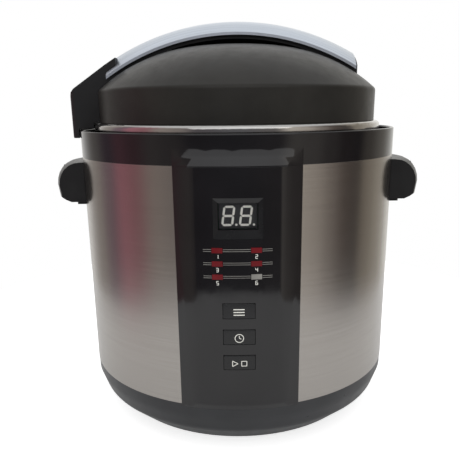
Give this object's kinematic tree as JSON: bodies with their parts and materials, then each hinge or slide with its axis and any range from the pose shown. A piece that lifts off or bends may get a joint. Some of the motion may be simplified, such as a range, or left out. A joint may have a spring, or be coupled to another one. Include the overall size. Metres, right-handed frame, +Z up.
{
  "type": "electric pressure cooker",
  "caption": "Electric pressure cooker: brushed steel body with a control panel, side handles, a domed twist-lock lid with an arched handle, and a lift-out pot.",
  "frame": {"origin": "on the table, on the axis of the round body", "axes": "+Z up, the control panel faces -Y, +X to the right as seen from the front"},
  "size_m": [0.319, 0.3011, 0.3334],
  "materials": {
    "charcoal_plastic": "fine satin texture",
    "vent_plate": "matt",
    "foot_rubber": "matt",
    "zinc_screw": "zinc plated",
    "inlet_plastic": "matt",
    "pin_brass": "bright",
    "circuit_board": "solder mask",
    "copper_coil": "varnished",
    "brushed_skin": "brushed round the body, satin",
    "gloss_black": "high gloss",
    "grey_silicone": "soft",
    "shield_tin": "rolled sheet",
    "spun_aluminium": "spun",
    "cast_aluminium": "machined casting",
    "element_sheath": "oxidised",
    "white_ceramic": "matt",
    "spring_steel": "drawn wire",
    "sensor_cap": "satin",
    "switch_body": "moulded",
    "display_body": "matt dark grey",
    "digit_white": "milky segments",
    "smoked_lens": "clear, lightly smoked",
    "lamp_red": "unlit red lens",
    "lamp_pale": "unlit pale lens",
    "button_black": "satin gloss",
    "handle_black": "satin",
    "cup_clear": "clear moulding",
    "pot_coating": "non-stick coating",
    "plate_aluminium": "satin sheet",
    "polished_steel": "polished sheet",
    "lid_plastic": "satin, warm sheen",
    "grip_black": "fine matt",
    "brushed_plate": "brushed along its length",
    "red_cap": "moulded",
    "red_silicone": "soft"
  },
  "bodies": {
    "body": {"base_shell": "charcoal_plastic", "base_cover": "vent_plate", "rubber_feet": "foot_rubber", "base_screws": "zinc_screw", "power_inlet": "inlet_plastic", "inlet_pins": "pin_brass", "power_board": "circuit_board", "transformer": "copper_coil", "steel_skin": "brushed_skin", "collar": "gloss_black", "trough_ring": "handle_black", "collar_gasket": "grey_silicone", "heat_shield": "shield_tin", "outer_pot": "spun_aluminium", "heating_plate": "cast_aluminium", "heating_element": "element_sheath", "thermal_fuse": "white_ceramic", "sensor_bracket": "spring_steel", "sensor_spring": "spring_steel", "pressure_switch": "switch_body", "control_panel": "gloss_black", "control_board": "circuit_board", "display_module": "display_body", "display_digits": "digit_white", "display_lens": "smoked_lens", "red_lamps": "lamp_red", "pale_lamp": "lamp_pale", "side_handle_left": "handle_black", "side_handle_right": "handle_black", "side_handle_screws": "zinc_screw", "cup_bracket": "handle_black"},
    "sensor": {"temperature_sensor": "sensor_cap"},
    "menu_key": {"menu_button": "button_black"},
    "time_key": {"time_button": "button_black"},
    "start_key": {"start_button": "button_black"},
    "cup": {"drip_cup": "cup_clear"},
    "pot": {"cooking_pot": "pot_coating"},
    "inner_lid": {"inner_lid_plate": "plate_aluminium", "sealing_ring": "grey_silicone", "plate_grommet": "grey_silicone"},
    "lid": {"lid_steel": "polished_steel", "lid_cover": "lid_plastic", "lid_post": "zinc_screw", "cover_screws": "zinc_screw", "lid_handle": "grip_black", "handle_plate": "brushed_plate", "handle_screws": "zinc_screw", "exhaust_pipe": "zinc_screw", "steam_filter": "plate_aluminium", "rod_guide": "zinc_screw", "rod_spring": "spring_steel"},
    "valve": {"pressure_valve": "handle_black"},
    "float": {"float_valve": "red_cap", "float_seal": "red_silicone"},
    "rod": {"push_rod": "zinc_screw"}
  },
  "joints": [
    {"name": "sensor_press", "type": "slide", "parent": "body", "child": "sensor", "axis": [0, 0, 1], "range_m": [-0.003, 0], "stiffness_N_per_m": 300, "springref_m": 0.005, "deforming": ["sensor_spring"]},
    {"name": "menu_press", "type": "slide", "parent": "body", "child": "menu_key", "axis": [0, 1, 0], "range_m": [0, 0.0012], "stiffness_N_per_m": 600, "springref_m": -0.0006},
    {"name": "time_press", "type": "slide", "parent": "body", "child": "time_key", "axis": [0, 1, 0], "range_m": [0, 0.0012], "stiffness_N_per_m": 600, "springref_m": -0.0006},
    {"name": "start_press", "type": "slide", "parent": "body", "child": "start_key", "axis": [0, 1, 0], "range_m": [0, 0.0012], "stiffness_N_per_m": 600, "springref_m": -0.0006},
    {"name": "cup_pull", "type": "slide", "parent": "body", "child": "cup", "axis": [0, 1, 0], "range_m": [0, 0.06]},
    {"name": "pot_lift", "type": "slide", "parent": "body", "child": "pot", "axis": [0, 0, 1], "range_m": [0, 0.18]},
    {"name": "lid_lift", "type": "slide", "parent": "pot", "child": "inner_lid", "axis": [0, 0, 1], "range_m": [0, 0.12]},
    {"name": "lid_turn", "type": "hinge", "parent": "inner_lid", "child": "lid", "pos_m": [0, 0, 0.25], "axis": [0, 0, 1], "range_deg": [0, 30]},
    {"name": "valve_turn", "type": "hinge", "parent": "lid", "child": "valve", "pos_m": [0, 0.062, 0.3], "axis": [0, 0, 1], "range_deg": [0, 45]},
    {"name": "float_rise", "type": "slide", "parent": "lid", "child": "float", "axis": [0, 0, 1], "range_m": [0, 0.005]},
    {"name": "rod_push", "type": "slide", "parent": "lid", "child": "rod", "axis": [1, 0, 0], "range_m": [0, 0.004], "stiffness_N_per_m": 200, "springref_m": -0.001, "deforming": ["rod_spring"]}
  ]
}
